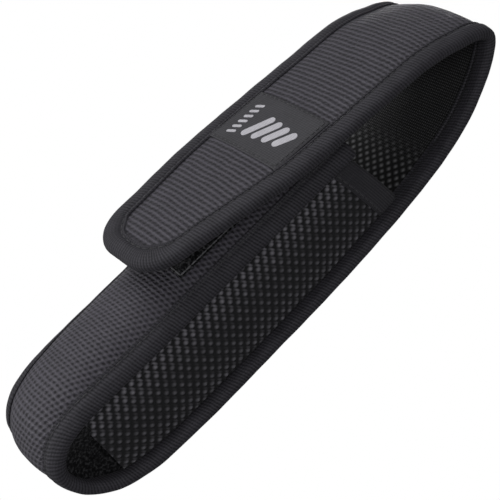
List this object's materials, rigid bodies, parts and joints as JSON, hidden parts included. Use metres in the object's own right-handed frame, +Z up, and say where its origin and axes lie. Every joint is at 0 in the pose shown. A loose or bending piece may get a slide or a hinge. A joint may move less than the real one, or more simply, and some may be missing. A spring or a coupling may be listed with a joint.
{
  "type": "flashlight belt holster",
  "caption": "Padded nylon belt sheath for a duty flashlight, with elastic side gussets, bound edges, a belt loop and a fold-over flap that opens.",
  "frame": {"origin": "middle of the tunnel that the belt runs through, between the back panel and the belt loop", "axes": "+Z up as worn, -Y the front with the flap, +Y towards the wearer, +X to the right seen from the front"},
  "size_m": [0.052, 0.0641, 0.21],
  "materials": {
    "ballistic_nylon": "coarse basket weave, slight sheen",
    "binding_tape": "fine cross-ribbed nylon tape",
    "elastic_web": "coarse dotted elastic weave",
    "foam": "closed-cell foam, hidden",
    "lining": "matt dotted lining",
    "hook_and_loop": "fuzzy pile",
    "webbing": "herringbone webbing",
    "woven_label": null,
    "thread": "bonded nylon thread"
  },
  "bodies": {
    "pouch": {"pouch_shell": "ballistic_nylon", "pouch_foam": "foam", "pouch_lining": "lining", "pouch_binding_left": "binding_tape", "pouch_binding_right": "binding_tape", "mouth_binding": "binding_tape", "gusset_left": "elastic_web", "gusset_right": "elastic_web", "gusset_hem_left": "binding_tape", "gusset_hem_right": "binding_tape", "corner_tape_left": "binding_tape", "corner_tape_right": "binding_tape", "loop_patch": "hook_and_loop", "loop_patch_thread": "thread", "belt_loop": "webbing", "belt_loop_thread_lower": "thread", "belt_loop_thread_upper": "thread"},
    "fold": {"fold_shell": "ballistic_nylon", "fold_foam": "foam", "fold_lining": "lining", "fold_binding_left": "binding_tape", "fold_binding_right": "binding_tape"},
    "flap": {"flap_shell": "ballistic_nylon", "flap_foam": "foam", "flap_lining": "lining", "flap_binding": "binding_tape", "hook_patch": "hook_and_loop", "woven_label": "woven_label", "label_thread": "thread"}
  },
  "joints": [
    {"name": "flap_lean", "type": "hinge", "parent": "pouch", "child": "fold", "pos_m": [0, -0.00472, 0.05031], "axis": [-1, 0, 0], "range_deg": [0, 45]},
    {"name": "flap_lift", "type": "hinge", "parent": "fold", "child": "flap", "pos_m": [0, -0.03363, 0.10912], "axis": [-1, 0, 0], "range_deg": [0, 150]}
  ]
}
